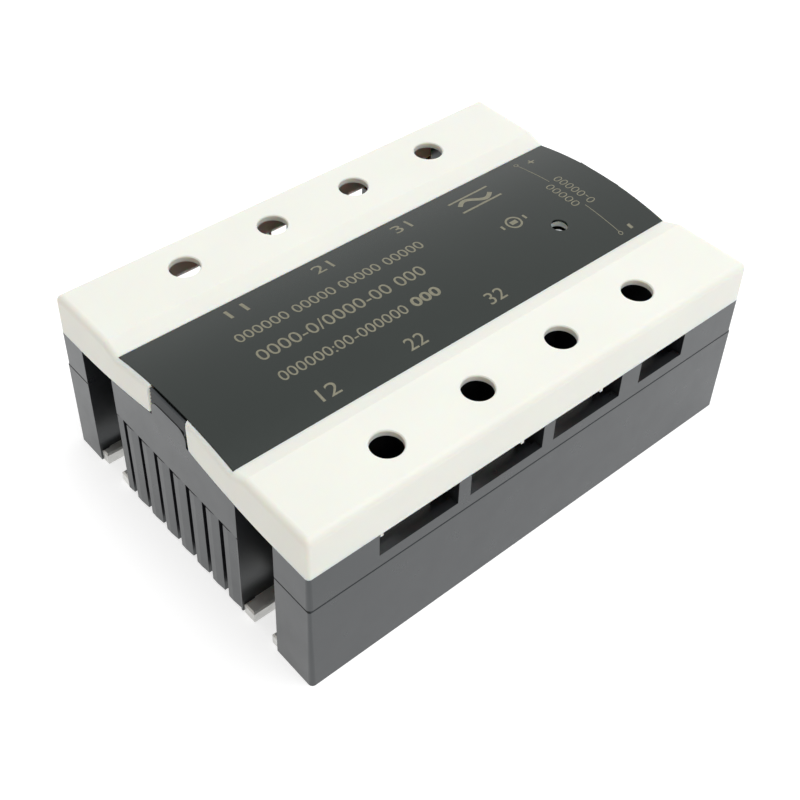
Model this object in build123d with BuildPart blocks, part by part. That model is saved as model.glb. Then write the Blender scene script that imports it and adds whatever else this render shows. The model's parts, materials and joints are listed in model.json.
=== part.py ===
# Three-phase solid state relay in a panel-mount block housing.
#
# Millimetres, +Z up. The origin is the centre of the underside of the block, on the plane
# that it stands on. X runs along the length, with the control input at the +X end, and Y
# runs across, from one row of terminals to the other.
from build123d import *

import os
from math import atan, degrees, sqrt

os.makedirs("parts", exist_ok=True)

# ---- overall size -------------------------------------------------------------------
LENGTH = 105.2          # footprint at the base
WIDTH = 74.0
DRAFT = 0.019           # inward lean of every outer wall, mm per mm of height
DRAFT_ANGLE = degrees(atan(DRAFT))
BODY_CORNER = 0.9       # upright corner radius of the housings
COVER_CORNER = 0.8      # upright corner radius of the cover
WALL = 1.8
COVER_WALL = 1.6        # skirt of the cover
COVER_TOP_WALL = 1.2

# ---- heights ------------------------------------------------------------------------
PLATE_TOP = 2.5         # top of the base plate
SEAM = 20.5             # joint between the two housings
DECK = 22.1             # floor of the terminal chambers
STRAP_TOP = 23.3        # terminal surface, level with the sill of each wire entry
SKIRT = 28.5            # bottom edge of the cover's skirt on the long sides
TOWER_TOP = 33.7        # top of the inner partition walls
TONGUE_TOP = 34.6       # top of the latch tongue
WING = 37.2             # flat wings of the cover
CROWN = 37.6            # middle of the arched label

# ---- terminals ----------------------------------------------------------------------
TERMINAL_PITCH = 19.85
TERMINAL_X = [(i - 1.5) * TERMINAL_PITCH for i in range(4)]
PHASE_X = TERMINAL_X[:3]
INPUT_X = TERMINAL_X[3]
TERMINAL_Y = 28.4
ENTRY_SHIFT = 0.45      # the wire entries sit a little towards +X of the screws
POWER_ENTRY = 17.1      # width of a wire entry
INPUT_ENTRY = 12.1
SCREWDRIVER_HOLE = 5.9
STRAP = 1.2             # thickness of the copper terminals
POWER_STRAP = 12.0      # width of a power terminal
INPUT_STRAP = 8.0
SHANK = 4.0             # M4 terminal screws
SHANK_LENGTH = 8.0
NUT = 7.0               # square nut, across its flats
NUT_HEIGHT = 3.2
CLAMP = 1.2             # thickness of the clamp plates

# ---- corner mounting slots ----------------------------------------------------------
END_SHIFT = 0.9         # the slots, grooves and latches sit this far towards +Y
SLOT_INNER = 18.4       # from there, each slot runs from here to SLOT_OUTER
SLOT_OUTER = 28.4
SLOT_BACK = 40.5        # and from the end wall to this distance from the middle
NOTCH_Y = 23.9
NOTCH_WIDTH = 5.2
NOTCH_CENTRE = 46.0     # centre of the round bottom of each U notch

# ---- arched label -------------------------------------------------------------------
CREASE = 20.3           # inner edge of each flat wing
LABEL_HALF_WIDTH = 16.6
LABEL_EDGE = 35.8       # height of the cover along the label's long edges
LABEL_HALF_LENGTH = 51.15
LABEL_THICKNESS = 0.5
ARCH_RADIUS = (LABEL_HALF_WIDTH**2 + (CROWN - LABEL_EDGE) ** 2) / (2 * (CROWN - LABEL_EDGE))
WINDOW_X, WINDOW_Y = 32.6, -6.2
WINDOW = 3.3

# ---- latch --------------------------------------------------------------------------
LATCH_HALF_WIDTH = 5.3  # half the gap between the two ends of the cover's skirt
TONGUE_HALF_WIDTH = 5.1
LATCH_DEPTH = 49.4      # the cover is cut back to here above the latch
ARC_START = 30.0        # the skirt's bottom edge starts to rise here
ARC_RADIUS = 115.0

# ---- control board ------------------------------------------------------------------
BOARD_BOTTOM = 24.0
BOARD = 1.6
BOARD_TOP = BOARD_BOTTOM + BOARD
PIN = 0.8               # square pins
PIN_TOP = BOARD_TOP + 0.6

# ---- power section ------------------------------------------------------------------
CERAMIC_TOP = PLATE_TOP + 0.6
PAD_TOP = CERAMIC_TOP + 0.3
CHIP_TOP = PAD_TOP + 0.5
CHIP = 6.0
CHIP_X, CHIP_Y = 3.2, 5.0

UPRIGHT = (Align.CENTER, Align.CENTER, Align.MIN)
END_VIEW = Plane(origin=(0, END_SHIFT, 0), x_dir=(0, 1, 0), z_dir=(1, 0, 0))    # middle of the end features
PIECES = []


def half_length(z):
    return LENGTH / 2 - DRAFT * z


def half_width(z):
    return WIDTH / 2 - DRAFT * z


def skirt_edge(y):
    """Height of the skirt's bottom edge on the end walls, this far from the latch."""
    reach = ARC_START - abs(y)
    return SKIRT + ARC_RADIUS - sqrt(ARC_RADIUS**2 - reach**2)


def arch_height(y, sink=0.0):
    """Height of the arched label, or of a surface this far under it."""
    return CROWN - ARCH_RADIUS + sqrt((ARCH_RADIUS - sink) ** 2 - y**2)


def tapered_block(bottom, top, corner=0.0):
    """Add a block with the relay's drafted footprint to the open part."""
    with BuildSketch(Plane.XY.offset(bottom)) as footprint:
        Rectangle(2 * half_length(bottom), 2 * half_width(bottom))
        if corner:
            fillet(footprint.vertices(), corner)
    extrude(footprint.sketch, amount=top - bottom, taper=DRAFT_ANGLE)


def cut_box(x0, x1, y0, y1, z0, z1):
    """Cut the box between these limits out of the open part."""
    with Locations(((x0 + x1) / 2, (y0 + y1) / 2, (z0 + z1) / 2)):
        Box(x1 - x0, y1 - y0, z1 - z0, mode=Mode.SUBTRACT)


def add_box(x0, x1, y0, y1, z0, z1):
    """Add the box between these limits to the open part."""
    with Locations(((x0 + x1) / 2, (y0 + y1) / 2, (z0 + z1) / 2)):
        Box(x1 - x0, y1 - y0, z1 - z0)


def cut_corner_slots(bottom, top):
    """Open the four mounting slots through the open part."""
    with BuildSketch(Plane.XY.offset(bottom)) as slots:
        depth = LENGTH / 2 - SLOT_BACK + 1
        with Locations((0, END_SHIFT)):
            with GridLocations(2 * SLOT_BACK + depth, SLOT_INNER + SLOT_OUTER, 2, 2):
                Rectangle(depth, SLOT_OUTER - SLOT_INNER)
    extrude(slots.sketch, amount=top - bottom, mode=Mode.SUBTRACT)


def four_cylinders(x, y, radius, bottom, top, mode=Mode.ADD):
    """Four upright cylinders at (+-x, +-y)."""
    with BuildSketch(Plane.XY.offset(bottom)) as circles:
        with GridLocations(2 * x, 2 * y, 2, 2):
            Circle(radius)
    extrude(circles.sketch, amount=top - bottom, mode=mode)


def keep(builder, name):
    """Label a finished piece and write its file."""
    builder.part.label = name
    export_step(builder.part, f"parts/{name}.step")
    PIECES.append(name)


# =====================================================================================
# Base plate: aluminium, with U notches for the mounting screws
# =====================================================================================
PLATE_END = LENGTH / 2 - 0.4        # end of the plate in the mounting slots
PLATE_MIDDLE_END = 49.9             # end of the plate behind the grooved end walls
SIDE_BOX_INNER = 50.6               # end of the plate inside the side boxes
PLATE_SCREW_X, PLATE_SCREW_Y = 46.5, 32.0


def plate_outline():
    """Add the outline of the plate, without its notches, to the open sketch."""
    with Locations((0, END_SHIFT)):
        with GridLocations(0, SLOT_INNER + SLOT_OUTER, 1, 2):
            Rectangle(2 * PLATE_END, SLOT_OUTER - SLOT_INNER)
    Rectangle(2 * SIDE_BOX_INNER, WIDTH - 4)
    with Locations((0, END_SHIFT)):
        with GridLocations(SIDE_BOX_INNER + PLATE_MIDDLE_END, 0, 2, 1):
            Rectangle(SIDE_BOX_INNER - PLATE_MIDDLE_END, 2 * SLOT_INNER, mode=Mode.SUBTRACT)


with BuildPart() as base_plate:
    with BuildSketch():
        plate_outline()
        notch_depth = LENGTH / 2 - NOTCH_CENTRE
        with Locations((0, END_SHIFT)):
            with GridLocations(2 * NOTCH_CENTRE + notch_depth, 2 * NOTCH_Y, 2, 2):
                Rectangle(notch_depth, NOTCH_WIDTH, mode=Mode.SUBTRACT)
            with GridLocations(2 * NOTCH_CENTRE, 2 * NOTCH_Y, 2, 2):
                Circle(NOTCH_WIDTH / 2, mode=Mode.SUBTRACT)
    extrude(amount=PLATE_TOP)
    with Locations(Plane.XY.rotated((180, 0, 0))):
        with GridLocations(2 * PLATE_SCREW_X, 2 * PLATE_SCREW_Y, 2, 2):
            CounterSinkHole(radius=1.6, counter_sink_radius=3.1, depth=PLATE_TOP, counter_sink_angle=90)
    chamfer(base_plate.faces().sort_by(Axis.Z)[-1].outer_wire().edges(), 0.3)
keep(base_plate, "base_plate")

# =====================================================================================
# Lower housing: drafted walls around the plate, grooved end walls
# =====================================================================================
GROOVE_COUNT = 7
GROOVE_PITCH = 4.92
FIRST_GROOVE = 16.0
GROOVE_WIDTH = 1.5
GROOVE_DEPTH = 2.0
LAP_WIDTH = 2.1         # each rib leans back over this width towards its groove
LAP_DEPTH = 0.2
END_WALL = 3.0          # thickness of the grooved end walls
END_LIFT = 0.7          # the grooved end walls stop this far above the floor
JOINT_SCREW_X, JOINT_SCREW_Y = 46.2, 12.6
INSIDE_END = LENGTH / 2 - END_WALL

with BuildPart() as lower_housing:
    tapered_block(0, SEAM, BODY_CORNER)
    chamfer(lower_housing.edges().group_by(Axis.Z)[-1], 0.2)
    cut_corner_slots(0, SEAM)
    # hollow above the plate
    with BuildSketch(Plane.XY.offset(PLATE_TOP)):
        Rectangle(2 * (SLOT_BACK - WALL), WIDTH - 2 * WALL)
        with Locations((0, END_SHIFT)):
            Rectangle(2 * INSIDE_END, 2 * (SLOT_INNER - WALL))
        for side in (-1, 1):
            box_inner = side * (SLOT_OUTER + WALL) + END_SHIFT
            box_outer = side * (WIDTH / 2 - WALL)
            with Locations((0, (box_inner + box_outer) / 2)):
                Rectangle(LENGTH - 2 * WALL, abs(box_outer - box_inner))
    extrude(amount=SEAM, mode=Mode.SUBTRACT)
    # seat for the plate, and the lift of the end walls
    with BuildSketch():
        plate_outline()
    extrude(amount=PLATE_TOP, mode=Mode.SUBTRACT)
    with BuildSketch():
        with Locations((0, END_SHIFT)):
            Rectangle(LENGTH + 2, 2 * SLOT_INNER)
    extrude(amount=END_LIFT, mode=Mode.SUBTRACT)
    # bosses for the plate screws and for the screws that join the housings
    four_cylinders(PLATE_SCREW_X, PLATE_SCREW_Y, 2.6, PLATE_TOP, 13)
    four_cylinders(JOINT_SCREW_X, JOINT_SCREW_Y, 3.6, PLATE_TOP, SEAM)
    four_cylinders(PLATE_SCREW_X, PLATE_SCREW_Y, 1.5, PLATE_TOP, 12, Mode.SUBTRACT)
    four_cylinders(JOINT_SCREW_X, JOINT_SCREW_Y, 1.45, 8, SEAM, Mode.SUBTRACT)
    # grooves and lapped ribs on both ends, following the draft
    for side in (-1, 1):
        face = side * LENGTH / 2
        proud = face + side
        with BuildSketch():
            for i in range(GROOVE_COUNT + 1):
                y = END_SHIFT + FIRST_GROOVE - i * GROOVE_PITCH
                if i < GROOVE_COUNT:
                    with Locations((face - side * (GROOVE_DEPTH - 1) / 2, y)):
                        Rectangle(GROOVE_DEPTH + 1, GROOVE_WIDTH)
                lap_start = y + GROOVE_WIDTH / 2
                lap = [
                    (proud, lap_start - 0.3),
                    (face - side * LAP_DEPTH, lap_start - 0.3),
                    (face - side * LAP_DEPTH, lap_start),
                    (face, lap_start + LAP_WIDTH),
                    (proud, lap_start + LAP_WIDTH),
                ]
                with BuildLine():
                    Polyline(lap, close=True)
                make_face()
            with Locations((face, END_SHIFT)):
                Rectangle(3 * GROOVE_DEPTH, 2 * SLOT_INNER + 0.2, mode=Mode.INTERSECT)
        extrude(amount=SEAM + 0.1, dir=(-side * DRAFT, 0, 1), mode=Mode.SUBTRACT)
keep(lower_housing, "lower_housing")

# =====================================================================================
# Upper housing: terminal chambers, partitions, latch tongues
# =====================================================================================
CREST_GAP = 0.12        # the end walls stop this far below the skirt's curved edge
CREST_INNER = 49.9      # inner face of the raised end walls
PARTITION = 20.2        # outer face of the wall between the chambers and the board
CHAMBER_OUTER = 34.8
TOWER_HALF_LENGTH = 38.7
TOWER_HALF_WIDTH = 34.3
BOARD_WINDOW_X, BOARD_WINDOW_Y = 35.8, 12.4
BOARD_POST_X, BOARD_POST_Y = 38.4, 12.8
CATCH_BOTTOM = TONGUE_TOP - 0.8
CATCH_TOP = 37.0
CATCH_TEETH = 4
CATCH_STEP = LABEL_HALF_LENGTH + 0.1     # inside this the catch passes under the label
CATCH_UNDER_LABEL = 36.6

# wire entries: centre and width of each, along X
ENTRIES = [(x + ENTRY_SHIFT, POWER_ENTRY) for x in PHASE_X] + [(INPUT_X + ENTRY_SHIFT, INPUT_ENTRY)]
STRAP_WIDTHS = [POWER_STRAP] * 3 + [INPUT_STRAP]

# raised end walls with the latch tongues, as one profile across the block
with BuildPart() as end_crests:
    tapered_block(SEAM, CROWN, BODY_CORNER)
    with BuildSketch(END_VIEW) as crest_profile:
        with BuildLine():
            edge = [(y, skirt_edge(y) - CREST_GAP) for y in (SLOT_INNER, 12.0, TONGUE_HALF_WIDTH)]
            right = ThreePointArc(*edge)
            left = ThreePointArc(*[(-y, z) for y, z in edge])
            Polyline(right @ 1, (TONGUE_HALF_WIDTH, TONGUE_TOP), (-TONGUE_HALF_WIDTH, TONGUE_TOP), left @ 1)
            Polyline(left @ 0, (-SLOT_INNER, SEAM + 3), (SLOT_INNER, SEAM + 3), right @ 0)
        make_face()
        fillet(crest_profile.vertices().group_by(Axis.Y)[-1], 2.2)
    extrude(amount=LENGTH, both=True, mode=Mode.INTERSECT)
    Box(2 * CREST_INNER, WIDTH, 4 * CROWN, mode=Mode.SUBTRACT)

# the serrated catch that a thumb presses, above each tongue
with BuildPart() as catches:
    rise = (CATCH_TOP - CATCH_BOTTOM) / CATCH_TEETH
    with BuildSketch(Plane.XZ.offset(-END_SHIFT)):
        with BuildLine():
            profile = [(CREST_INNER, CATCH_BOTTOM)]
            for i in range(CATCH_TEETH):
                lean = half_length(TONGUE_TOP) - 0.1 - 0.04 * i
                tooth = CATCH_BOTTOM + rise * i
                profile += [(lean, tooth), (lean - 0.3, tooth + 0.7 * rise)]
            profile += [(lean, CATCH_TOP), (CATCH_STEP, CATCH_TOP)]
            profile += [(CATCH_STEP, CATCH_UNDER_LABEL), (CREST_INNER, CATCH_UNDER_LABEL)]
            Polyline(profile, close=True)
        make_face()
    extrude(amount=TONGUE_HALF_WIDTH, both=True)
    mirror(about=Plane.YZ)

with BuildPart() as upper_housing:
    tapered_block(SEAM, SKIRT, BODY_CORNER)
    chamfer(upper_housing.edges().group_by(Axis.Z)[0], 0.2)
    # inner tower, cut into chambers below
    add_box(-TOWER_HALF_LENGTH, TOWER_HALF_LENGTH, -TOWER_HALF_WIDTH, TOWER_HALF_WIDTH, SEAM, TOWER_TOP)
    cut_corner_slots(SEAM, SKIRT)
    add(end_crests.part)
    add(catches.part)
    # room for the control board
    with BuildSketch(Plane.XY.offset(DECK)):
        Rectangle(2 * TOWER_HALF_LENGTH, 2 * SLOT_INNER)
        with Locations((0, END_SHIFT)):
            Rectangle(2 * CREST_INNER, 2 * (SLOT_INNER - WALL))
    extrude(amount=TOWER_TOP, mode=Mode.SUBTRACT)
    cut_box(-BOARD_WINDOW_X, BOARD_WINDOW_X, -BOARD_WINDOW_Y, BOARD_WINDOW_Y, SEAM, DECK)
    # side boxes are hollow from below
    for y in (-1, 1):
        for x in (-1, 1):
            pocket_x = sorted((x * (SLOT_BACK + WALL), x * (half_length(SEAM) - WALL)))
            pocket_y = sorted((y * (SLOT_OUTER + WALL) + END_SHIFT, y * (half_width(SEAM) - WALL)))
            cut_box(*pocket_x, *pocket_y, SEAM, SKIRT - COVER_WALL)
    # chambers, wire entries, strap slots and nut pockets
    for (entry_x, entry), x, strap in zip(ENTRIES, TERMINAL_X, STRAP_WIDTHS):
        for side in (-1, 1):
            y = side * TERMINAL_Y
            x0, x1 = entry_x - entry / 2, entry_x + entry / 2
            cut_box(x0, x1, *sorted((side * PARTITION, side * CHAMBER_OUTER)), DECK, TOWER_TOP)
            cut_box(x0, x1, *sorted((side * (CHAMBER_OUTER - 1), side * WIDTH / 2)), STRAP_TOP, TOWER_TOP)
            add_box(x - 5, x + 5, y - 5, y + 5, SEAM - 3.2, DECK - 0.5)
            cut_box(x - NUT / 2 - 0.1, x + NUT / 2 + 0.1, y - NUT / 2 - 0.1, y + NUT / 2 + 0.1,
                    DECK - NUT_HEIGHT - 0.1, DECK)
            cut_box(x - strap / 2 - 0.1, x + strap / 2 + 0.1,
                    *sorted((side * (PARTITION + 0.4), side * (PARTITION + 2.5))), SEAM, DECK)
            with BuildSketch(Plane.XY.offset(SEAM - 4)):
                with Locations((x, y)):
                    Circle(SHANK / 2 + 0.4)
            extrude(amount=6, mode=Mode.SUBTRACT)
    # posts for the control board, and holes for the joining screws
    four_cylinders(BOARD_POST_X, BOARD_POST_Y, 2.2, DECK - 1, BOARD_BOTTOM)
    four_cylinders(JOINT_SCREW_X, JOINT_SCREW_Y, 1.6, SEAM, DECK, Mode.SUBTRACT)
keep(upper_housing, "upper_housing")

# =====================================================================================
# Fasteners of the housings
# =====================================================================================
CROSS = 0.7             # width of the cross recesses
JOINT_HEAD = 2.0


def cut_cross(span, bottom, top, x=0.0, y=0.0):
    """Cut a cross recess for a screwdriver."""
    cut_box(x - span / 2, x + span / 2, y - CROSS / 2, y + CROSS / 2, bottom, top)
    cut_box(x - CROSS / 2, x + CROSS / 2, y - span / 2, y + span / 2, bottom, top)


with BuildPart() as countersunk_screw:
    with BuildSketch(Plane.XZ):
        with BuildLine():
            Polyline((0, 0), (2.95, 0), (1.45, 1.5), (1.45, 10), (0, 10), close=True)
        make_face()
    revolve(axis=Axis.Z)
    cut_cross(3.4, 0, 0.9)

with BuildPart() as base_screws:
    with GridLocations(2 * PLATE_SCREW_X, 2 * PLATE_SCREW_Y, 2, 2):
        add(countersunk_screw.part)
keep(base_screws, "base_screws")

with BuildPart() as joining_screw:
    with BuildSketch(Plane.XZ):
        with BuildLine():
            Polyline((0, 10), (1.4, 10), (1.4, DECK), (2.7, DECK), (2.7, DECK + JOINT_HEAD),
                     (0, DECK + JOINT_HEAD), close=True)
        make_face()
    revolve(axis=Axis.Z)
    cut_cross(3.4, DECK + JOINT_HEAD - 1, DECK + JOINT_HEAD)

with BuildPart() as housing_screws:
    with GridLocations(2 * JOINT_SCREW_X, 2 * JOINT_SCREW_Y, 2, 2):
        add(joining_screw.part)
keep(housing_screws, "housing_screws")

# =====================================================================================
# Power section: substrates, chips, links and terminals of the three phases
# =====================================================================================
GATE_PINS = [(x - s * (CHIP_X + 2.2), s * (CHIP_Y + 2.2)) for x in PHASE_X for s in (-1, 1)]
INPUT_PINS = [(INPUT_X, -11.2), (INPUT_X, 11.2)]
FOOT_START = 10.2       # inner end of each power terminal's foot
RISER_Y = 21.4
STRAP_END = 33.0
INPUT_FOOT_Z = 14.6

power_parts = []
for phase, x in zip("abc", PHASE_X):
    with BuildPart() as ceramic_substrate:
        add_box(x - 8, x + 8, -18, 18, PLATE_TOP, CERAMIC_TOP)
    with BuildPart() as thyristor_pair:
        for s in (-1, 1):
            chip_x, chip_y = x - s * CHIP_X, s * CHIP_Y
            half = CHIP / 2
            add_box(chip_x - half, chip_x + half, chip_y - half, chip_y + half, PAD_TOP, CHIP_TOP)
    keep(ceramic_substrate, f"ceramic_substrate_{phase}")
    keep(thyristor_pair, f"thyristor_pair_{phase}")
    power_parts += [ceramic_substrate.part, thyristor_pair.part]

with BuildPart() as copper_pads:
    for x in PHASE_X:
        for s in (-1, 1):
            add_box(x - 7, x + 7, *sorted((s * 1, s * 16.5)), CERAMIC_TOP, PAD_TOP)
keep(copper_pads, "copper_pads")

# each link climbs from the top of a chip and steps down to the pad across the gap
LINK = 0.4
with BuildPart() as cathode_links:
    for x in PHASE_X:
        for s in (-1, 1):
            with BuildSketch(Plane.YZ.offset(x - s * CHIP_X - 1.5)):
                with BuildLine():
                    on_chip, on_pad = CHIP_TOP + LINK / 2, PAD_TOP + LINK / 2
                    Polyline((s * 7, on_chip), (s * 3, on_chip), (s * 1.6, on_chip + 1.4),
                             (-s * 1.4, on_chip + 1.4), (-s * 3.2, on_pad), (-s * 7, on_pad))
                trace(line_width=LINK)
            extrude(amount=3)
keep(cathode_links, "cathode_links")

with BuildPart() as gate_pins:
    for x, y in GATE_PINS:
        add_box(x - PIN / 2, x + PIN / 2, y - PIN / 2, y + PIN / 2, CHIP_TOP, PIN_TOP)
keep(gate_pins, "gate_pins")

with BuildPart() as input_pins:
    for x, y in INPUT_PINS:
        add_box(x - PIN / 2, x + PIN / 2, y - PIN / 2, y + PIN / 2, INPUT_FOOT_Z + STRAP / 2, PIN_TOP)
keep(input_pins, "input_pins")


def terminal(name, x, side, width, foot_y, foot_z):
    """Copper strap: a foot inside, a riser through the deck and a screw tab in the chamber."""
    with BuildPart() as strap:
        with BuildSketch(Plane.YZ.offset(x - width / 2)):
            with BuildLine():
                tab = STRAP_TOP - STRAP / 2
                FilletPolyline((side * foot_y, foot_z), (side * RISER_Y, foot_z), (side * RISER_Y, tab),
                               (side * STRAP_END, tab), radius=STRAP)
            trace(line_width=STRAP)
        extrude(amount=width)
        with Locations((x, side * TERMINAL_Y, STRAP_TOP - STRAP / 2)):
            Cylinder(SHANK / 2 + 0.25, 2 * STRAP, mode=Mode.SUBTRACT)
    keep(strap, name)
    return strap.part


for side, row in ((1, 1), (-1, 2)):
    for phase, x in zip("abc", PHASE_X):
        name = f"terminal_{phase}{row}"
        power_parts.append(terminal(name, x, side, POWER_STRAP, FOOT_START, PAD_TOP + STRAP / 2))
terminal("input_terminal_plus", INPUT_X, 1, INPUT_STRAP, 10.2, INPUT_FOOT_Z)
terminal("input_terminal_minus", INPUT_X, -1, INPUT_STRAP, 10.2, INPUT_FOOT_Z)

GEL_HALF_LENGTH, GEL_HALF_WIDTH = 38.4, 19.6
GEL_TOP = 8.0
with BuildPart() as potting_gel:
    add_box(-GEL_HALF_LENGTH, GEL_HALF_LENGTH, -GEL_HALF_WIDTH, GEL_HALF_WIDTH, PLATE_TOP, GEL_TOP)
    add([*power_parts, copper_pads.part, cathode_links.part, gate_pins.part], mode=Mode.SUBTRACT)
keep(potting_gel, "potting_gel")

with BuildPart() as terminal_nuts:
    for x in TERMINAL_X:
        with Locations((x, TERMINAL_Y, DECK - NUT_HEIGHT / 2), (x, -TERMINAL_Y, DECK - NUT_HEIGHT / 2)):
            Box(NUT, NUT, NUT_HEIGHT)
            Cylinder(SHANK / 2 + 0.05, 2 * NUT_HEIGHT, mode=Mode.SUBTRACT)
keep(terminal_nuts, "terminal_nuts")

# =====================================================================================
# Control board and what it carries
# =====================================================================================
BOARD_HALF_LENGTH, BOARD_HALF_WIDTH = 42.0, 15.4
LEAD = 0.6              # thickness of the component leads
LEG_PITCH = 2.54        # between the legs of the optocouplers

with BuildPart() as control_board:
    with BuildSketch(Plane.XY.offset(BOARD_BOTTOM)):
        Rectangle(2 * BOARD_HALF_LENGTH, 2 * BOARD_HALF_WIDTH)
    extrude(amount=BOARD)
    for x, y in GATE_PINS + INPUT_PINS:
        hole = PIN / 2 + 0.05
        cut_box(x - hole, x + hole, y - hole, y + hole, BOARD_BOTTOM, BOARD_TOP)
keep(control_board, "control_board")


def axial_component(x, y, length, diameter, lead_span, along):
    """Cylindrical component lying just above the board on two bent leads."""
    z = BOARD_TOP + diameter / 2 + 0.3
    turn = 0 if along == "x" else 90
    with Locations(Location((x, y, z), (0, 0, turn))):
        Cylinder(diameter / 2, length, rotation=(0, 90, 0))
        with Locations((0, 0, 0)):
            Box(lead_span + LEAD, LEAD, LEAD)
        drop = z - BOARD_TOP
        with Locations((-lead_span / 2, 0, -drop / 2), (lead_span / 2, 0, -drop / 2)):
            Box(LEAD, LEAD, drop)


for phase, x in zip("abc", PHASE_X):
    with BuildPart() as optocoupler:
        add_box(x - 4.5, x + 4.5, -3.2, 3.2, BOARD_TOP + 0.4, BOARD_TOP + 3.8)
        for leg_x in (x - LEG_PITCH, x, x + LEG_PITCH):
            for s in (-1, 1):
                shoulder, shin = sorted((s * 3.0, s * 3.9)), sorted((s * 3.5, s * 3.9))
                add_box(leg_x - 0.6, leg_x + 0.6, *shoulder, BOARD_TOP + 1.9, BOARD_TOP + 2.3)
                add_box(leg_x - 0.3, leg_x + 0.3, *shin, BOARD_TOP, BOARD_TOP + 2)
    keep(optocoupler, f"optocoupler_{phase}")

with BuildPart() as gate_resistors:
    for x in PHASE_X:
        axial_component(x + 1.5, 7.4, 6.3, 2.3, 10.16, "x")
        axial_component(x - 1.5, -7.4, 6.3, 2.3, 10.16, "x")
keep(gate_resistors, "gate_resistors")

with BuildPart() as snubber_resistors:
    for x in PHASE_X:
        axial_component(x, -12.9, 11, 4.2, 15.24, "x")
keep(snubber_resistors, "snubber_resistors")

with BuildPart() as snubber_capacitors:
    for x in PHASE_X:
        add_box(x - 6.5, x + 6.5, 9.9, 15.3, BOARD_TOP, BOARD_TOP + 7.6)
    fillet(snubber_capacitors.edges().filter_by(Axis.Z), 0.6)
keep(snubber_capacitors, "snubber_capacitors")

with BuildPart() as varistors:
    for x in PHASE_X:
        middle = x + TERMINAL_PITCH / 2
        with Locations((middle, 0, BOARD_TOP + 4.8)):
            Cylinder(3.9, 3.2, rotation=(90, 0, 0))
        for lead_x in (middle - 2.5, middle + 2.5):
            add_box(lead_x - LEAD / 2, lead_x + LEAD / 2, -LEAD / 2, LEAD / 2, BOARD_TOP, BOARD_TOP + 4)
keep(varistors, "varistors")

with BuildPart() as input_diode:
    axial_component(36.5, 4.5, 5.2, 2.7, 9, "y")
keep(input_diode, "input_diode")

with BuildPart() as input_capacitor:
    with Locations((27.6, 3.4, BOARD_TOP)):
        Cylinder(3.1, 7.5, align=UPRIGHT)
    fillet(input_capacitor.edges().sort_by(Axis.Z)[-1], 0.5)
keep(input_capacitor, "input_capacitor")

TRANSISTOR_X, TRANSISTOR_Y = 38.4, -8.0
with BuildPart() as regulator_transistor:
    with BuildSketch(Plane.XY.offset(BOARD_TOP + 1.5)):
        with Locations((TRANSISTOR_X, TRANSISTOR_Y)):
            Circle(2.3)
        with Locations((TRANSISTOR_X + 2.8, TRANSISTOR_Y)):
            Rectangle(3, 6, mode=Mode.SUBTRACT)
    extrude(amount=4.6)
    for i in (-1, 0, 1):
        lead_y = TRANSISTOR_Y + i * LEG_PITCH / 2
        add_box(TRANSISTOR_X - 0.5, TRANSISTOR_X, lead_y - 0.25, lead_y + 0.25, BOARD_TOP, BOARD_TOP + 2)
keep(regulator_transistor, "regulator_transistor")

LAMP_TOP = 35.9
LAMP_FLANGE = LAMP_TOP - 5.3
with BuildPart() as lamp_spacer:
    with Locations((WINDOW_X, WINDOW_Y, BOARD_TOP)):
        Cylinder(2.2, LAMP_FLANGE - BOARD_TOP, align=UPRIGHT)
keep(lamp_spacer, "lamp_spacer")

with BuildPart() as indicator_lamp:
    with Locations((WINDOW_X, WINDOW_Y, LAMP_FLANGE)):
        Cylinder(1.5, LAMP_TOP - LAMP_FLANGE, align=UPRIGHT)
    fillet(indicator_lamp.edges().sort_by(Axis.Z)[-1], 1.3)
    with Locations((WINDOW_X, WINDOW_Y, LAMP_FLANGE)):
        Cylinder(1.8, 1, align=UPRIGHT)
keep(indicator_lamp, "indicator_lamp")

# =====================================================================================
# Cover and label: one lift-off body
# =====================================================================================
COVER_EDGE = 1.3        # rounding of the top edges
LEAD_IN = (1.2, 1.6)    # bevel inside the skirt's bottom edge that guides a wire in: depth, height
UNDERSIDE = WING - COVER_TOP_WALL
LABEL_PLAY = 0.08       # gap between the label and the edges of its recess
HOLE_BREAK = 0.2        # bevel around the screwdriver holes
GAP_MOUTH = 0.8         # rounding of the skirt beside each latch
RIB_X = (-37.2, -6.0, 13.7)
RIB_WIDTH = 0.6
RIB_DROP = 1.0          # the locating ribs reach this far below the skirt
INNER_SKIRT = half_width(SKIRT) - COVER_WALL
COVER_INSIDE_END = half_length(SKIRT) - COVER_WALL - 0.1
UNDER_LABEL = LABEL_THICKNESS + COVER_TOP_WALL
RECESS_HALF_WIDTH = LABEL_HALF_WIDTH + LABEL_PLAY


def arch(half_width_of_arc, sink):
    """Arc across the relay, this far under the label's surface."""
    end = arch_height(half_width_of_arc, sink)
    return ThreePointArc((-half_width_of_arc, end), (0, CROWN - sink), (half_width_of_arc, end))


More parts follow.
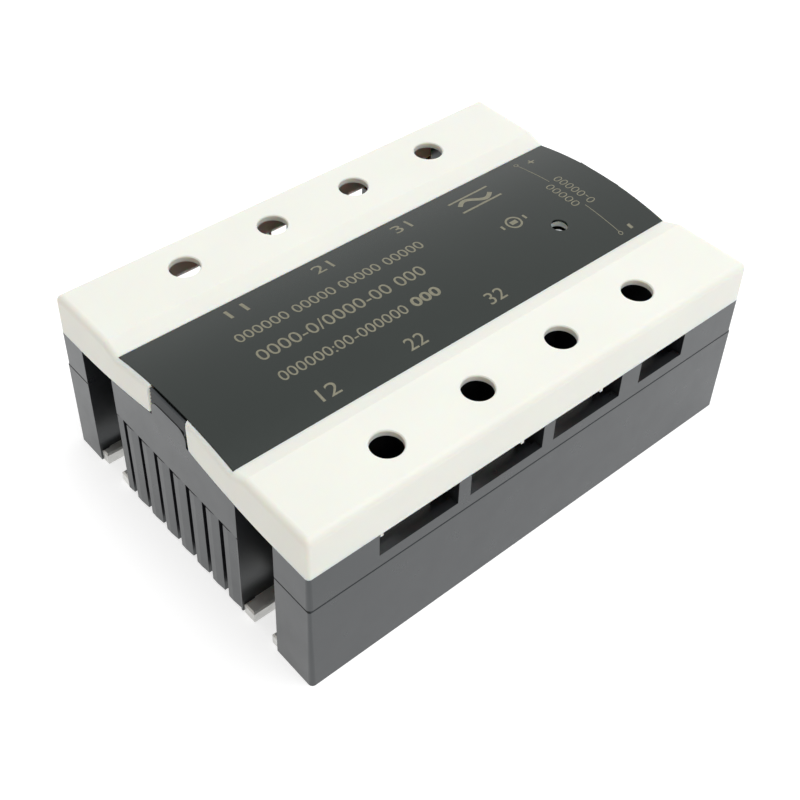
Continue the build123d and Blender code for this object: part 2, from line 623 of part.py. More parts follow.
with BuildPart() as top_cover:
    tapered_block(SKIRT, CROWN + 1)
    # outer profile: flat wings, slopes and the arch
    with BuildSketch(Plane.YZ):
        with BuildLine():
            right = [(LABEL_HALF_WIDTH, LABEL_EDGE), (CREASE, WING), (WIDTH / 2, WING), (WIDTH / 2, SKIRT)]
            left = [(-y, z) for y, z in reversed(right)]
            Polyline(*right, *left)
            arch(LABEL_HALF_WIDTH, 0)
        make_face()
    extrude(amount=LENGTH, both=True, mode=Mode.INTERSECT)
    upper = top_cover.edges().filter_by(lambda edge: edge.bounding_box().min.Z > LABEL_EDGE - 0.1)
    fillet(upper.filter_by(lambda edge: edge.length < 100 or abs(edge.center().Y) > TERMINAL_Y), COVER_EDGE)
    upright = top_cover.edges().filter_by(lambda edge: edge.bounding_box().size.Z > 0.5)
    corners = upright.filter_by(lambda edge: abs(edge.center().X) > 45 and abs(edge.center().Y) > 34)
    fillet(corners, COVER_CORNER)
    # recess for the label
    with BuildSketch(Plane.YZ):
        with BuildLine():
            seat = arch(RECESS_HALF_WIDTH, LABEL_THICKNESS)
            Polyline(seat @ 1, (RECESS_HALF_WIDTH, CROWN + 1), (-RECESS_HALF_WIDTH, CROWN + 1), seat @ 0)
        make_face()
    extrude(amount=LABEL_HALF_LENGTH, both=True, mode=Mode.SUBTRACT)
    # hollow
    with BuildSketch(Plane.YZ):
        with BuildLine():
            ceiling = arch(LABEL_HALF_WIDTH + 0.8, UNDER_LABEL)
            right = [(CREASE + 0.5, UNDERSIDE), (INNER_SKIRT, UNDERSIDE), (INNER_SKIRT, SKIRT + LEAD_IN[1]),
                     (INNER_SKIRT + LEAD_IN[0], SKIRT)]
            left = [(-y, z) for y, z in reversed(right)]
            Polyline(ceiling @ 1, *right, *left, ceiling @ 0)
        make_face()
    extrude(amount=COVER_INSIDE_END, both=True, mode=Mode.SUBTRACT)
    # curved bottom edge of the end skirts, and the gap for each latch tongue
    for end in (-1, 1):
        with BuildSketch(END_VIEW.offset(end * LATCH_DEPTH)) as latch_gap:
            with BuildLine():
                stations = (ARC_START, (ARC_START + LATCH_HALF_WIDTH) / 2, LATCH_HALF_WIDTH)
                curve = [(y, skirt_edge(y)) for y in stations]
                right = ThreePointArc(*curve)
                left = ThreePointArc(*[(-y, z) for y, z in curve])
                Polyline(right @ 1, (LATCH_HALF_WIDTH, CROWN + 1), (-LATCH_HALF_WIDTH, CROWN + 1), left @ 1)
                Polyline(left @ 0, (-ARC_START, SKIRT - 1), (ARC_START, SKIRT - 1), right @ 0)
            make_face()
            tips = latch_gap.vertices().filter_by(lambda corner: SKIRT < corner.Y < CROWN)
            fillet(tips.filter_by(lambda corner: abs(corner.X) < LATCH_HALF_WIDTH + 1), 1.0)
        extrude(amount=end * LENGTH / 8, mode=Mode.SUBTRACT)
    # rounded mouth of each gap
    with BuildSketch(Plane.XY.offset(SKIRT)):
        for end in (-1, 1):
            face = end * half_length(SKIRT)
            with Locations((face, END_SHIFT)):
                Rectangle(2 * GAP_MOUTH, 2 * (LATCH_HALF_WIDTH + GAP_MOUTH))
            with Locations((face - end * GAP_MOUTH, END_SHIFT)):
                with GridLocations(0, 2 * (LATCH_HALF_WIDTH + GAP_MOUTH), 1, 2):
                    Circle(GAP_MOUTH, mode=Mode.SUBTRACT)
    extrude(amount=CROWN, mode=Mode.SUBTRACT)
    # screwdriver holes and the lamp's window
    with BuildSketch(Plane.XY.offset(UNDERSIDE - 1)):
        for x in TERMINAL_X:
            with Locations((x, TERMINAL_Y), (x, -TERMINAL_Y)):
                Circle(SCREWDRIVER_HOLE / 2)
        with Locations((WINDOW_X, WINDOW_Y)):
            Circle(WINDOW / 2 + 0.15)
    extrude(amount=4, mode=Mode.SUBTRACT)
    with BuildSketch(Plane.XY.offset(WING)):
        for x in TERMINAL_X:
            with Locations((x, TERMINAL_Y), (x, -TERMINAL_Y)):
                Circle(SCREWDRIVER_HOLE / 2 + HOLE_BREAK)
    extrude(amount=-HOLE_BREAK, taper=45, mode=Mode.SUBTRACT)
    # locating ribs that drop into the wire entries
    for x in RIB_X:
        for side in (-1, 1):
            add_box(x - RIB_WIDTH / 2, x + RIB_WIDTH / 2,
                    *sorted((side * (INNER_SKIRT + 0.1), side * (INNER_SKIRT + COVER_WALL - 0.2))),
                    SKIRT - RIB_DROP, SKIRT + LEAD_IN[1])
keep(top_cover, "top_cover")

with BuildPart() as label_plate:
    with BuildSketch(Plane.YZ):
        with BuildLine():
            face_arc = arch(LABEL_HALF_WIDTH, 0)
            back_arc = arch(LABEL_HALF_WIDTH, LABEL_THICKNESS)
            Line(face_arc @ 0, back_arc @ 0)
            Line(face_arc @ 1, back_arc @ 1)
        make_face()
    extrude(amount=LABEL_HALF_LENGTH - LABEL_PLAY, both=True)
    with BuildSketch(Plane.XY.offset(UNDERSIDE)):
        with Locations((WINDOW_X, WINDOW_Y)):
            Circle(WINDOW / 2)
    extrude(amount=4, mode=Mode.SUBTRACT)
keep(label_plate, "label_plate")

# =====================================================================================
# Clamp plates and terminal screws: each pair lifts together as its screw is turned
# =====================================================================================
CLAMP_HALF_DEPTH = 4.5
LIP = 0.8               # thickness of the turned-up sides of a clamp plate
LIP_HEIGHT = 1.1
HEAD = 7.2
HEAD_HEIGHT = 2.6
CLAMP_TOP = STRAP_TOP + CLAMP
HEAD_TOP = CLAMP_TOP + HEAD_HEIGHT

for side, row, control in ((1, "1", "plus"), (-1, "2", "minus")):
    names = [phase + row for phase in "abc"] + [control]
    y = side * TERMINAL_Y
    for name, x, half in zip(names, TERMINAL_X, [5.5] * 3 + [4.6]):
        with BuildPart() as clamp:
            add_box(x - half, x + half, y - CLAMP_HALF_DEPTH, y + CLAMP_HALF_DEPTH, STRAP_TOP, CLAMP_TOP)
            for lip in (-1, 1):
                add_box(*sorted((x + lip * half, x + lip * (half - LIP))),
                        y - CLAMP_HALF_DEPTH, y + CLAMP_HALF_DEPTH, CLAMP_TOP, CLAMP_TOP + LIP_HEIGHT)
            fillet(clamp.edges().filter_by(Axis.Y).group_by(Axis.Z)[0], 0.5)
            with Locations((x, y, STRAP_TOP)):
                Cylinder(SHANK / 2 + 0.08, 4 * CLAMP, mode=Mode.SUBTRACT)
        keep(clamp, f"clamp_{name}")

        with BuildPart() as screw:
            with Locations((x, y, CLAMP_TOP)):
                Cylinder(HEAD / 2, HEAD_HEIGHT, align=UPRIGHT)
            fillet(screw.edges().sort_by(Axis.Z)[-1], 0.7)
            with Locations((x, y, CLAMP_TOP - SHANK_LENGTH)):
                Cylinder(SHANK / 2, SHANK_LENGTH, align=UPRIGHT)
            chamfer(screw.edges().sort_by(Axis.Z)[0], 0.5)
            cut_cross(4.6, HEAD_TOP - 1.5, HEAD_TOP, x, y)
            cut_box(x - HEAD / 2, x + HEAD / 2, y - CROSS / 2, y + CROSS / 2, HEAD_TOP - 0.9, HEAD_TOP)
        keep(screw, f"screw_{name}")

print(len(PIECES), "pieces")
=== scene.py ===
"""Studio scene for the solid state relay: materials, printed label, floor, light and camera."""
import json
import math

import bmesh
import bpy
from mathutils import Matrix, Vector


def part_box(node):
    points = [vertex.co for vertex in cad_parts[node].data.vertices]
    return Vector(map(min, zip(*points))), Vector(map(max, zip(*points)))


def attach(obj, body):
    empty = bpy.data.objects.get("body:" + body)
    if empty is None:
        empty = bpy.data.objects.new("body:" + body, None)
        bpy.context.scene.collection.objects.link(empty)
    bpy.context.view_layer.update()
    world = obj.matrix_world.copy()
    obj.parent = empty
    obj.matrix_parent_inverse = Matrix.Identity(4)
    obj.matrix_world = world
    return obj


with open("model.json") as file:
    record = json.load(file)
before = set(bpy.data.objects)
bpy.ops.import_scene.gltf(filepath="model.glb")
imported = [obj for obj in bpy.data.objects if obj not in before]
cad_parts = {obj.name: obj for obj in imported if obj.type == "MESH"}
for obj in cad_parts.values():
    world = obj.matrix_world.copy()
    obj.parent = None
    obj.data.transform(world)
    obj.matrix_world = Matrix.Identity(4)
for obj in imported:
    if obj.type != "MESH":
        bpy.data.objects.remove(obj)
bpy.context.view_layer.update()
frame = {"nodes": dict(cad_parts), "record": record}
NODES = frame["nodes"]
MM = 0.001

# ---------------------------------------------------------------------------------------
# Places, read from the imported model
# ---------------------------------------------------------------------------------------
LABEL_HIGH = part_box("label_plate")[1]
LABEL_RISE = 1.8 * MM          # the middle of the arched label stands this far above its long edges
ARCH_RADIUS = (LABEL_HIGH.y**2 + LABEL_RISE**2) / (2 * LABEL_RISE)
PHASE_X = [(low.x + high.x) / 2 for low, high in (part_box(f"optocoupler_{phase}") for phase in "abc")]
PHASE_PITCH = PHASE_X[1] - PHASE_X[0]


def arch(y):
    """Height of the label's surface at this distance from its middle line."""
    return LABEL_HIGH.z - ARCH_RADIUS + math.sqrt(ARCH_RADIUS**2 - y**2)


# ---------------------------------------------------------------------------------------
# Builders for the materials
# ---------------------------------------------------------------------------------------
CLOUD_SIZE = 18 * MM           # slow changes of colour in moulded plastic
GLOSS_SIZE = 5 * MM            # slow changes of gloss in moulded plastic
STAIN_SIZE = 3 * MM            # patches of tarnish on metal
BRUSH_STRETCH = 0.03           # how much a metal's grain is drawn out along its axis


class Shader:
    """A small builder for node materials."""

    def __init__(self, name):
        self.material = bpy.data.materials.new(name)
        self.material.use_nodes = True
        self.tree = self.material.node_tree
        self.tree.nodes.clear()
        self.bsdf = self.add("ShaderNodeBsdfPrincipled")
        output = self.add("ShaderNodeOutputMaterial")
        self.join(self.bsdf.outputs["BSDF"], output.inputs["Surface"])
        self.place = self.add("ShaderNodeTexCoord").outputs["Object"]

    def add(self, kind, **settings):
        node = self.tree.nodes.new(kind)
        for key, value in settings.items():
            setattr(node, key, value)
        return node

    def join(self, source, target):
        self.tree.links.new(source, target)

    def set(self, **values):
        """Set plain values on the shader's own sockets: coat_weight sets Coat Weight, and so on."""
        for key, value in values.items():
            socket = self.bsdf.inputs[key.replace("_", " ").title().replace("Ior", "IOR")]
            socket.default_value = value

    def stretched(self, scale):
        mapping = self.add("ShaderNodeMapping")
        mapping.inputs["Scale"].default_value = scale
        self.join(self.place, mapping.inputs["Vector"])
        return mapping.outputs["Vector"]

    def noise(self, size, detail=3.0, roughness=0.5, vector=None):
        """Noise whose features are about size metres across."""
        node = self.add("ShaderNodeTexNoise")
        node.inputs["Scale"].default_value = 1.0 / size
        node.inputs["Detail"].default_value = detail
        node.inputs["Roughness"].default_value = roughness
        self.join(vector or self.place, node.inputs["Vector"])
        return node.outputs["Fac"]

    def span(self, value, low, high, start=0.3, end=0.7):
        """Map start..end of a value to low..high."""
        node = self.add("ShaderNodeMapRange")
        node.inputs["From Min"].default_value = start
        node.inputs["From Max"].default_value = end
        node.inputs["To Min"].default_value = low
        node.inputs["To Max"].default_value = high
        self.join(value, node.inputs["Value"])
        return node.outputs["Result"]

    def mix(self, factor, first, second):
        node = self.add("ShaderNodeMix", data_type="RGBA")
        self.join(factor, node.inputs["Factor"])
        for socket, colour in ((node.inputs[6], first), (node.inputs[7], second)):
            if isinstance(colour, tuple):
                socket.default_value = (*colour, 1.0)
            else:
                self.join(colour, socket)
        return node.outputs[2]

    def bump(self, height, distance):
        node = self.add("ShaderNodeBump")
        node.inputs["Distance"].default_value = distance
        self.join(height, node.inputs["Height"])
        return node.outputs["Normal"]

    def finish(self, colour=None, roughness=None, normal=None):
        for name, source in (("Base Color", colour), ("Roughness", roughness), ("Normal", normal)):
            if source is not None:
                self.join(source, self.bsdf.inputs[name])
        return self.material


def moulded_plastic(name, colour, rough, grain, grain_depth, shade=0.9, sheen_spread=0.03, **extra):
    """Injection moulded plastic: fine spark-eroded grain, faint cloudy colour and gloss changes."""
    s = Shader(name)
    s.set(**extra)
    cloud = s.noise(CLOUD_SIZE, detail=2.0)
    tint = s.mix(s.span(cloud, 0.0, 1.0), tuple(shade * c for c in colour), colour)
    gloss = s.span(s.noise(GLOSS_SIZE, detail=4.0), rough - sheen_spread, rough + sheen_spread)
    fine = s.noise(grain, detail=2.0, roughness=0.6)
    return s.finish(tint, gloss, s.bump(fine, grain_depth))


def metal(name, colour, rough, brush_axis=0, brush=0.2 * MM, depth=0.002 * MM, metallic=1.0):
    """Bare or plated metal with a brushed or rolled grain along one axis."""
    s = Shader(name)
    s.set(metallic=metallic)
    scale = [1.0, 1.0, 1.0]
    scale[brush_axis] = BRUSH_STRETCH
    lines = s.noise(brush, detail=3.0, vector=s.stretched(scale))
    stain = s.noise(STAIN_SIZE, detail=4.0)
    shade = s.mix(s.span(stain, 0.0, 1.0, 0.35, 0.75), tuple(0.75 * c for c in colour), colour)
    gloss = s.span(lines, rough - 0.05, rough + 0.08)
    return s.finish(shade, gloss, s.bump(lines, depth))


def clear_material(name, dark, light, cloud_size, transmission, ior):
    """Clear or cloudy resin."""
    s = Shader(name)
    s.set(transmission_weight=transmission, ior=ior)
    cloud = s.noise(cloud_size)
    return s.finish(s.mix(cloud, dark, light), s.span(cloud, 0.12, 0.28), s.bump(cloud, 0.02 * MM))


TRACK_SCALE = 260
TRACK_GAP = 0.035


def board_material():
    """Solder mask with faint tracks under it."""
    s = Shader("board_laminate")
    s.set(coat_weight=0.3, coat_roughness=0.2)
    tracks = s.add("ShaderNodeTexBrick", offset=0.37)
    tracks.inputs["Scale"].default_value = TRACK_SCALE
    tracks.inputs["Mortar Size"].default_value = TRACK_GAP
    for socket, colour in (("Color1", (0.02, 0.13, 0.06, 1)), ("Color2", (0.03, 0.17, 0.08, 1)),
                           ("Mortar", (0.05, 0.24, 0.12, 1))):
        tracks.inputs[socket].default_value = colour
    s.join(s.place, tracks.inputs["Vector"])
    gloss = s.span(s.noise(0.5 * MM), 0.25, 0.4)
    return s.finish(tracks.outputs["Color"], gloss, s.bump(tracks.outputs["Fac"], 0.03 * MM))


RESISTOR_SHIFT = 1.5 * MM      # each gate resistor lies this far from its optocoupler's middle
LACQUER = (0.62, 0.47, 0.28)
BAND_WIDTH = 0.5 * MM
BANDS = (                      # mm from the resistor's middle, and the colour
    (-2.1, (0.25, 0.03, 0.02)),
    (-0.9, (0.05, 0.03, 0.02)),
    (0.3, (0.30, 0.05, 0.02)),
    (2.1, (0.55, 0.35, 0.08)),
)


def banded_resistor():
    """Tan lacquer with colour bands across each gate resistor; the resistors lie in two rows along X."""
    s = Shader("resistor_film")
    axes = s.add("ShaderNodeSeparateXYZ")
    s.join(s.place, axes.inputs["Vector"])
    row = s.add("ShaderNodeMath", operation="SIGN")
    s.join(axes.outputs["Y"], row.inputs[0])
    shift = s.add("ShaderNodeMath", operation="MULTIPLY_ADD")
    s.join(row.outputs["Value"], shift.inputs[0])
    shift.inputs[1].default_value = -RESISTOR_SHIFT
    s.join(axes.outputs["X"], shift.inputs[2])
    start = s.add("ShaderNodeMath", operation="SUBTRACT")
    s.join(shift.outputs["Value"], start.inputs[0])
    start.inputs[1].default_value = PHASE_X[0] - PHASE_PITCH / 2
    along = s.add("ShaderNodeMath", operation="WRAP")
    s.join(start.outputs["Value"], along.inputs[0])
    along.inputs[1].default_value = PHASE_PITCH
    along.inputs[2].default_value = 0.0
    share = s.span(along.outputs["Value"], 0.0, 1.0, 0.0, PHASE_PITCH)
    bands = s.add("ShaderNodeValToRGB")
    bands.color_ramp.interpolation = "CONSTANT"
    bands.color_ramp.elements[0].color = (*LACQUER, 1)
    bands.color_ramp.elements[1].position = 1.0
    bands.color_ramp.elements[1].color = (*LACQUER, 1)
    half = BAND_WIDTH / 2 / PHASE_PITCH
    for middle, colour in BANDS:
        place = 0.5 + middle * MM / PHASE_PITCH
        bands.color_ramp.elements.new(place - half).color = (*colour, 1)
        bands.color_ramp.elements.new(place + half).color = (*LACQUER, 1)
    s.join(share, bands.inputs["Fac"])
    s.set(roughness=0.35)
    return s.finish(bands.outputs["Color"])


def ink_material():
    """Screen-printed khaki ink, thin and a little uneven."""
    s = Shader("label_ink")
    patch = s.noise(0.5 * MM, detail=3.0)
    tint = s.mix(s.span(patch, 0.0, 1.0), (0.165, 0.155, 0.105), (0.235, 0.220, 0.150))
    return s.finish(tint, s.span(patch, 0.38, 0.5), s.bump(patch, 0.004 * MM))


# ---------------------------------------------------------------------------------------
# Materials, one for each slot of the record, and the label's ink
# ---------------------------------------------------------------------------------------
MATERIALS = {
    "base_metal": metal("base_metal", (0.86, 0.86, 0.84), 0.5, brush_axis=0, metallic=0.75),
    "black_housing": moulded_plastic(
        "black_housing", (0.013, 0.014, 0.016), 0.30, 0.30 * MM, 0.003 * MM, ior=1.68,
        specular_tint=(0.93, 0.98, 1.0, 1.0)),
    "ivory_cover": moulded_plastic(
        "ivory_cover", (0.84, 0.835, 0.765), 0.45, 0.35 * MM, 0.006 * MM, shade=0.975, ior=1.4,
        subsurface_weight=0.45, subsurface_scale=0.0015, subsurface_radius=(1.0, 0.6, 0.35)),
    "dark_label": moulded_plastic(
        "dark_label", (0.012, 0.015, 0.013), 0.24, 0.30 * MM, 0.0015 * MM, sheen_spread=0.015,
        specular_tint=(0.93, 1.0, 0.95, 1.0)),
    "zinc_steel": metal("zinc_steel", (0.74, 0.75, 0.77), 0.28, brush_axis=2),
    "tinned_copper": metal("tinned_copper", (0.76, 0.73, 0.68), 0.32, brush_axis=1),
    "copper": metal("copper", (0.80, 0.45, 0.30), 0.30, brush_axis=1),
    "alumina": moulded_plastic("alumina", (0.86, 0.86, 0.82), 0.55, 0.1 * MM, 0.004 * MM, shade=0.96),
    "silicon_chip": metal("silicon_chip", (0.22, 0.23, 0.27), 0.18, brush=0.6 * MM, depth=0.001 * MM),
    "clear_gel": clear_material("clear_gel", (0.62, 0.60, 0.50), (0.72, 0.70, 0.60), 6 * MM, 0.6, 1.41),
    "board_laminate": board_material(),
    "component_epoxy": moulded_plastic("component_epoxy", (0.030, 0.030, 0.033), 0.5, 0.09 * MM, 0.004 * MM),
    "resistor_film": banded_resistor(),
    "resistor_cement": moulded_plastic("resistor_cement", (0.25, 0.34, 0.30), 0.55, 0.15 * MM, 0.006 * MM),
    "capacitor_case": moulded_plastic("capacitor_case", (0.42, 0.04, 0.03), 0.3, 0.2 * MM, 0.002 * MM),
    "capacitor_sleeve": moulded_plastic("capacitor_sleeve", (0.03, 0.04, 0.09), 0.3, 0.4 * MM, 0.003 * MM),
    "varistor_disc": moulded_plastic("varistor_disc", (0.04, 0.13, 0.38), 0.28, 0.5 * MM, 0.006 * MM),
    "white_nylon": moulded_plastic("white_nylon", (0.80, 0.80, 0.77), 0.5, 0.2 * MM, 0.003 * MM),
    "lamp_epoxy": clear_material("lamp_epoxy", (0.55, 0.58, 0.60), (0.90, 0.92, 0.93), 0.35 * MM, 0.25, 1.5),
}
INK = ink_material()

for part in frame["record"]["subparts"]:
    mesh = NODES[part["node"]].data
    mesh.materials.clear()
    mesh.materials.append(MATERIALS[part["material_slot"]])


# ---------------------------------------------------------------------------------------
# Print on the label: thin slabs of ink bent over the arch
# ---------------------------------------------------------------------------------------
INK_PROUD = 0.02 * MM
INK_SUNK = 0.05 * MM
LONGEST_RUN = 1.5              # mm between the points of a line of ink


def add_piece(name, mesh, material, body):
    mesh.materials.clear()
    mesh.materials.append(material)
    piece = bpy.data.objects.new(name, mesh)
    bpy.context.scene.collection.objects.link(piece)
    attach(piece, body)
    return piece


def on_label(x, y, raised):
    return Vector((x, y, arch(y) + (INK_PROUD if raised else -INK_SUNK)))


def printed_text(name, text, left, right, foot, top, weight=0.0, turned=False):
    """Print digits that fill a rectangle of the label, in millimetres; turned ones read towards +Y."""
    font = bpy.data.curves.new(name, "FONT")
    font.body = text
    font.extrude = 1.0
    font.offset = weight
    font.resolution_u = 4
    writing = bpy.data.objects.new(name, font)
    mesh = bpy.data.meshes.new_from_object(writing)
    bpy.data.objects.remove(writing)
    low_x, high_x = min(v.co.x for v in mesh.vertices), max(v.co.x for v in mesh.vertices)
    low_y, high_y = min(v.co.y for v in mesh.vertices), max(v.co.y for v in mesh.vertices)
    for v in mesh.vertices:
        along, up = (v.co.x - low_x) / (high_x - low_x), (v.co.y - low_y) / (high_y - low_y)
        if turned:
            along, up = 1 - up, along
        place = (left + along * (right - left)) * MM, (foot + up * (top - foot)) * MM
        v.co = on_label(*place, v.co.z > 0)
    mesh.name = name
    return add_piece(name, mesh, INK, "cover")


class Ink:
    """Lines and shapes of ink, in millimetres on the label, joined into one piece."""

    def __init__(self):
        self.mesh = bmesh.new()

    @staticmethod
    def divided(points, closed):
        """The points with more between them, so that a long run follows the arch."""
        if closed:
            return points
        finer = [points[0]]
        for start, end in zip(points, points[1:]):
            steps = math.ceil((end - start).length / LONGEST_RUN)
            finer += [start.lerp(end, (i + 1) / steps) for i in range(steps)]
        return finer

    def ribbon(self, points, width, closed=False):
        """A line of this width through the points."""
        points = self.divided([Vector(p) for p in points], closed)
        count = len(points)
        edges = []
        for i, point in enumerate(points):
            before = points[i - 1] if closed or i > 0 else point
            after = points[(i + 1) % count] if closed or i < count - 1 else point
            run_in, run_out = (point - before), (after - point)
            along = (run_in.normalized() + run_out.normalized()).normalized()
            across = Vector((-along.y, along.x)) * width / 2
            reach = run_out.normalized() if run_out.length else run_in.normalized()
            across /= max(0.35, abs(along.dot(reach)))
            edges.append((point + across, point - across))
        sections = []
        for left, right in edges:
            corners = ((left, True), (right, True), (right, False), (left, False))
            sections.append([self.mesh.verts.new(on_label(p.x * MM, p.y * MM, up)) for p, up in corners])
        for i in range(count if closed else count - 1):
            here, there = sections[i], sections[(i + 1) % count]
            for j in range(4):
                k = (j + 1) % 4
                self.mesh.faces.new((here[j], there[j], there[k], here[k]))
        if not closed:
            self.mesh.faces.new(sections[0])
            self.mesh.faces.new(list(reversed(sections[-1])))

    def ring(self, x, y, radius, width, sides=28):
        turns = [math.tau * i / sides for i in range(sides)]
        self.ribbon([(x + radius * math.cos(a), y + radius * math.sin(a)) for a in turns], width, closed=True)

    def piece(self, name):
        bmesh.ops.recalc_face_normals(self.mesh, faces=self.mesh.faces)
        mesh = bpy.data.meshes.new(name)
        self.mesh.to_mesh(mesh)
        self.mesh.free()
        return add_piece(name, mesh, INK, "cover")


# terminal numbers, all in mm: middle of the first, pitch and size
NUMBER_START = -29.1
NUMBER_PITCH = 19.2
NUMBER_WIDTH = 4.1
NUMBER_HEIGHT = 2.7
NUMBER_ROWS = ((1, 13.15), (2, -12.75))

for row, middle_y in NUMBER_ROWS:
    foot, top = middle_y - NUMBER_HEIGHT / 2, middle_y + NUMBER_HEIGHT / 2
    for phase in (1, 2, 3):
        middle_x = NUMBER_START + (phase - 1) * NUMBER_PITCH
        left, right = middle_x - NUMBER_WIDTH / 2, middle_x + NUMBER_WIDTH / 2
        printed_text(f"print_number_{phase}{row}", f"{phase}{row}", left, right, foot, top)

# rows of zeros where the ratings stand: left, right, foot and top in mm
BOLD, THIN = 0.025, -0.012
printed_text("print_rating_1", "000000 00000 00000 00000", -34.2, 8.2, 5.0, 7.4)
printed_text("print_rating_2", "0000-0/0000-00 000", -33.9, 3.3, -1.2, 1.6)
printed_text("print_rating_3", "000000:00-000000", -33.9, -6.0, -7.0, -4.7)
printed_text("print_rating_4", "000", -4.6, 1.9, -6.9, -4.5, weight=BOLD)
printed_text("print_input_1", "00000", 39.0, 40.9, -4.1, 4.1, weight=THIN, turned=True)
printed_text("print_input_2", "0-00000", 42.2, 44.2, -5.1, 5.1, weight=THIN, turned=True)


def input_bracket():
    """Thin line along the control end, broken by the digits, with a ring and a sign at each end."""
    ink = Ink()
    line_x, line_start = 41.2, 4.9
    for side, reach in ((1, 13.7), (-1, 13.9)):
        ink.ribbon([(line_x, side * line_start), (line_x, side * reach)], 0.15)
        ink.ring(line_x, side * (reach + 0.5), 0.42, 0.16)
    plus_x, plus_y, arm = 44.3, 13.0, 0.8
    ink.ribbon([(plus_x - arm, plus_y), (plus_x + arm, plus_y)], 0.35)
    ink.ribbon([(plus_x, plus_y - arm), (plus_x, plus_y + arm)], 0.35)
    minus_x = 44.2
    ink.ribbon([(minus_x, -14.7), (minus_x, -13.5)], 0.75)
    return ink.piece("print_input_bracket")


def wave_emblem():
    """Plain emblem: a bold alternating-current wave between two bars."""
    ink = Ink()
    left, right, middle = 20.9, 31.2, 10.4
    inset, swing, bar = 1.2, 1.1, 2.1
    steps = 32
    wave = []
    for i in range(steps + 1):
        part = i / steps
        along = left + inset + part * (right - left - 2 * inset)
        wave.append((along, middle + swing * math.sin(math.tau * part)))
    ink.ribbon(wave, 0.95)
    ink.ribbon([(left, middle - bar), (right, middle - bar)], 0.5)
    ink.ribbon([(left, middle + bar), (right, middle + bar)], 0.5)
    return ink.piece("print_emblem")


def ring_mark():
    """Small generic mark: a block in a ring, between two dashes."""
    ink = Ink()
    x, y = 26.1, -0.3
    ink.ring(x, y, 1.55, 0.42)
    ink.ribbon([(x - 0.8, y), (x + 0.8, y)], 1.0)
    for dash_x in (x - 2.9, x + 2.9):
        ink.ribbon([(dash_x, y - 0.6), (dash_x, y + 0.6)], 0.5)
    return ink.piece("print_ring_mark")


input_bracket()
wave_emblem()
ring_mark()


# ---------------------------------------------------------------------------------------
# Floor, lights and camera
# ---------------------------------------------------------------------------------------
FLOOR_REACH = 2                # metres each way
FLOOR_GREY = 0.50
FLOOR_GLOW = 0.68              # keeps the floor near white beside the shadows


def make_floor():
    mesh = bpy.data.meshes.new("floor")
    corners = [(x * FLOOR_REACH, y * FLOOR_REACH, 0) for x, y in ((-1, -1), (1, -1), (1, 1), (-1, 1))]
    mesh.from_pydata(corners, [], [(0, 1, 2, 3)])
    floor = bpy.data.objects.new("floor", mesh)
    bpy.context.scene.collection.objects.link(floor)
    s = Shader("floor")
    s.set(base_color=(FLOOR_GREY, FLOOR_GREY, FLOOR_GREY, 1), roughness=0.9, specular_ior_level=0.1,
          emission_color=(1, 1, 1, 1), emission_strength=FLOOR_GLOW)
    mesh.materials.append(s.finish())


def soft_light(name, place, target, size, power, colour=(1, 1, 1)):
    light = bpy.data.lights.new(name, "AREA")
    light.shape = "RECTANGLE"
    light.size, light.size_y = size
    light.energy = power
    light.color = colour
    lamp = bpy.data.objects.new(name, light)
    lamp.location = place
    lamp.rotation_euler = (Vector(target) - Vector(place)).to_track_quat("-Z", "Y").to_euler()
    bpy.context.scene.collection.objects.link(lamp)


BRIGHT_SIDE = Vector((0.75, 0.35, 0.56))
DIM, BRIGHT = 0.09, 1.03       # strength of the tent away from its bright side and at it


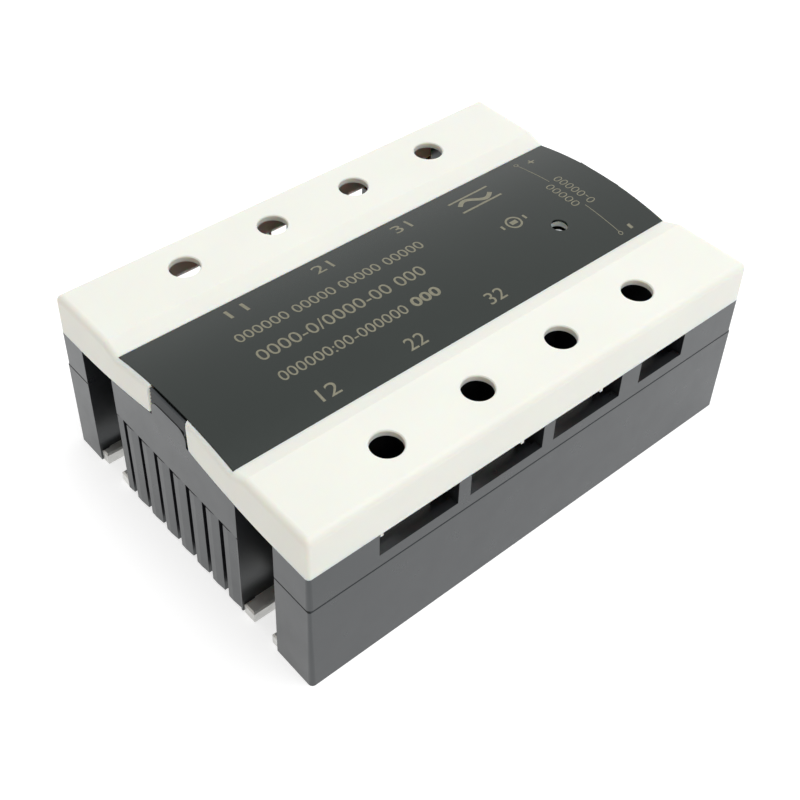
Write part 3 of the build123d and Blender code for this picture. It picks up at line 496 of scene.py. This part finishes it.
def make_world():
    """A white studio tent, brightest high on the far right, dim and a little warm towards -X."""
    world = bpy.data.worlds.new("studio")
    bpy.context.scene.world = world
    world.use_nodes = True
    tree = world.node_tree
    background = tree.nodes["Background"]
    direction = tree.nodes.new("ShaderNodeTexCoord").outputs["Generated"]
    axes = tree.nodes.new("ShaderNodeSeparateXYZ")
    tree.links.new(direction, axes.inputs["Vector"])
    across = tree.nodes.new("ShaderNodeMapRange")
    across.inputs["From Min"].default_value = -1.0
    tree.links.new(axes.outputs["X"], across.inputs["Value"])
    tint = tree.nodes.new("ShaderNodeValToRGB")
    tint.color_ramp.elements[0].color = (1.0, 0.92, 0.82, 1)
    tint.color_ramp.elements[1].color = (1.0, 1.0, 1.0, 1)
    tint.color_ramp.elements.new(0.5).color = (0.96, 0.98, 1.0, 1)
    tree.links.new(across.outputs["Result"], tint.inputs["Fac"])
    towards = tree.nodes.new("ShaderNodeVectorMath")
    towards.operation = "DOT_PRODUCT"
    towards.inputs[1].default_value = BRIGHT_SIDE
    tree.links.new(direction, towards.inputs[0])
    strength = tree.nodes.new("ShaderNodeMapRange")
    strength.inputs["From Min"].default_value = -1.0
    strength.inputs["To Min"].default_value = DIM
    strength.inputs["To Max"].default_value = BRIGHT
    tree.links.new(towards.outputs["Value"], strength.inputs["Value"])
    tree.links.new(tint.outputs["Color"], background.inputs["Color"])
    tree.links.new(strength.outputs["Result"], background.inputs["Strength"])


CAMERA_PLACE = Vector((-116.61, -125.92, 179.23)) * MM
CAMERA_TURN = (47.522, 45.321, 2.256)      # degrees: heading from +X, dip and roll
CAMERA_LENS = 54.94
CAMERA_SENSOR = 36


def make_camera():
    """The photographer's place: above the near corner of the -X end, looking down at about 45 degrees."""
    camera = bpy.data.cameras.new("camera")
    camera.lens = CAMERA_LENS
    camera.sensor_width = CAMERA_SENSOR
    camera.clip_start = 0.01
    holder = bpy.data.objects.new("camera", camera)
    yaw, pitch, roll = (math.radians(angle) for angle in CAMERA_TURN)
    look = Vector((math.cos(pitch) * math.cos(yaw), math.cos(pitch) * math.sin(yaw), -math.sin(pitch)))
    level = Vector((math.sin(yaw), -math.cos(yaw), 0))
    raised = level.cross(look)
    right = level * math.cos(roll) + raised * math.sin(roll)
    up = raised * math.cos(roll) - level * math.sin(roll)
    turn = Matrix((right, up, -look)).transposed()
    holder.matrix_world = Matrix.Translation(CAMERA_PLACE) @ turn.to_4x4()
    bpy.context.scene.collection.objects.link(holder)
    bpy.context.scene.camera = holder


make_floor()
make_world()
make_camera()
soft_light("key", place=(0.15, -0.22, 0.8), target=(0, 0, 20 * MM), size=(0.5, 0.5), power=3.2,
           colour=(0.96, 0.98, 1.0))
bpy.context.scene.view_settings.view_transform = "Standard"
